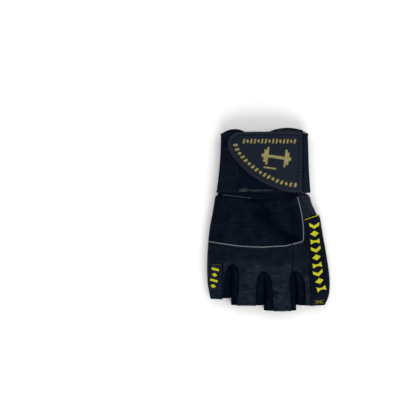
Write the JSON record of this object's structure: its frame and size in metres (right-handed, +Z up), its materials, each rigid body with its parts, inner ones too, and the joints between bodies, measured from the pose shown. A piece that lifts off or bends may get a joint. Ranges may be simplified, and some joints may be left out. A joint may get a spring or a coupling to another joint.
{
  "type": "weightlifting glove",
  "caption": "Right-hand half-finger training glove lying palm down, with a ribbed stretch back, leather palm and knuckles, an open thumb hole and a wide wrist wrap.",
  "frame": {"origin": "middle of the footprint of the glove lying palm down, on the table", "axes": "+X to the thumb side, +Y to the wrist and away from the fingertips, +Z up out of the back"},
  "size_m": [0.124, 0.184, 0.0227],
  "materials": {
    "leather": "satin",
    "palm_leather": "matte",
    "ribbed_fabric": "ribbed",
    "gusset_fabric": "matte",
    "elastic": "woven",
    "loop_fabric": "fuzzy",
    "moulded_tab": "satin",
    "piping": "satin"
  },
  "bodies": {
    "root": {"palm_leather": "palm_leather", "knuckle_panel": "leather", "index_panel": "leather", "side_strip": "leather", "little_strip": "leather", "thumb_side_panel": "leather", "rib_panel": "ribbed_fabric", "side_piping": "piping", "knuckle_piping": "piping", "fourchette_little_ring": "gusset_fabric", "fourchette_ring_middle": "gusset_fabric", "fourchette_middle_index": "gusset_fabric", "cuff_band": "elastic", "wrist_strap": "elastic", "loop_patch": "loop_fabric", "closure_tab": "moulded_tab", "thumb_binding": "elastic"}
  },
  "joints": []
}
